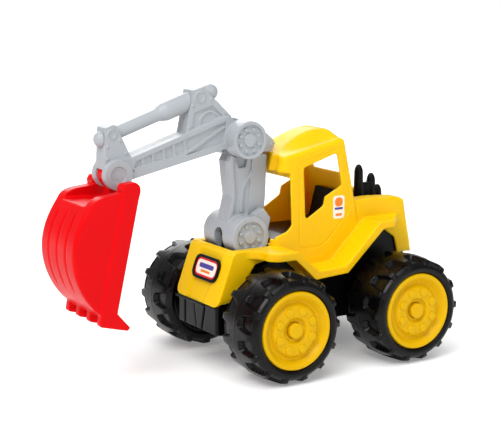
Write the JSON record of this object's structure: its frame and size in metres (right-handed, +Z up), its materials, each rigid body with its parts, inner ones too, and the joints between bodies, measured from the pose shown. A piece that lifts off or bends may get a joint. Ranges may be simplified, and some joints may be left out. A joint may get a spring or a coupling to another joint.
{
  "type": "toy excavator truck",
  "caption": "Child's plastic digger: open cab on a wheeled black chassis, free-rolling chunky tyres, and a jointed grey arm that carries a toothed scoop.",
  "frame": {"origin": "on the ground under the middle of the overall bounding box, with the arm as it is stored", "axes": "+X forward, towards the digging arm; +Y to the toy's left; +Z up"},
  "size_m": [0.3816, 0.215, 0.2708],
  "materials": {
    "yellow_plastic": "moulded polypropylene, soft satin gloss, golden yellow",
    "cap_plastic": "moulded polypropylene, golden yellow",
    "black_plastic": "moulded polypropylene, black, lightly polished",
    "grey_plastic": "moulded polypropylene, light grey satin",
    "red_plastic": "moulded polypropylene, signal red, satin gloss",
    "tyre": "blow-moulded black polyethylene, soft sheen",
    "steel": "plain zinc-plated steel",
    "label": "printed self-adhesive film"
  },
  "bodies": {
    "root": {"chassis": "black_plastic", "chassis_screws": "steel", "body_shell": "yellow_plastic", "cab": "yellow_plastic", "seat": "black_plastic", "engine_block": "black_plastic", "badge_plate": "label", "door_label_left": "label", "door_label_right": "label", "front_axle": "steel", "rear_axle": "steel", "axle_nuts": "steel"},
    "boom": {"boom_left": "grey_plastic", "boom_right": "grey_plastic", "boom_screws": "steel", "boom_pin": "steel"},
    "stick": {"stick_left": "grey_plastic", "stick_right": "grey_plastic", "stick_screws": "steel", "stick_pin": "steel", "ram": "grey_plastic", "bucket_pin": "steel"},
    "bucket": {"bucket": "red_plastic"},
    "wheel_front_left": {"tyre_front_left": "tyre", "wheel_front_left": "yellow_plastic", "hub_cap_front_left": "cap_plastic"},
    "wheel_front_right": {"tyre_front_right": "tyre", "wheel_front_right": "yellow_plastic", "hub_cap_front_right": "cap_plastic"},
    "wheel_rear_left": {"tyre_rear_left": "tyre", "wheel_rear_left": "yellow_plastic", "hub_cap_rear_left": "cap_plastic"},
    "wheel_rear_right": {"tyre_rear_right": "tyre", "wheel_rear_right": "yellow_plastic", "hub_cap_rear_right": "cap_plastic"}
  },
  "joints": [
    {"name": "boom_pitch", "type": "hinge", "parent": "root", "child": "boom", "pos_m": [0.0027, 0, 0.1255], "axis": [0, 1, 0], "range_deg": [0, 20]},
    {"name": "stick_pitch", "type": "hinge", "parent": "boom", "child": "stick", "pos_m": [0.0027, 0, 0.2185], "axis": [0, 1, 0], "range_deg": [0, 20]},
    {"name": "bucket_tilt", "type": "hinge", "parent": "stick", "child": "bucket", "pos_m": [0.1342, 0, 0.194], "axis": [0, -1, 0], "range_deg": [-35, 75]},
    {"name": "wheel_front_left_spin", "type": "hinge", "parent": "root", "child": "wheel_front_left", "pos_m": [0.0022, 0.08, 0.052], "axis": [0, 1, 0], "continuous": true},
    {"name": "wheel_front_right_spin", "type": "hinge", "parent": "root", "child": "wheel_front_right", "pos_m": [0.0022, -0.08, 0.052], "axis": [0, 1, 0], "continuous": true},
    {"name": "wheel_rear_left_spin", "type": "hinge", "parent": "root", "child": "wheel_rear_left", "pos_m": [-0.1388, 0.08, 0.052], "axis": [0, 1, 0], "continuous": true},
    {"name": "wheel_rear_right_spin", "type": "hinge", "parent": "root", "child": "wheel_rear_right", "pos_m": [-0.1388, -0.08, 0.052], "axis": [0, 1, 0], "continuous": true}
  ]
}
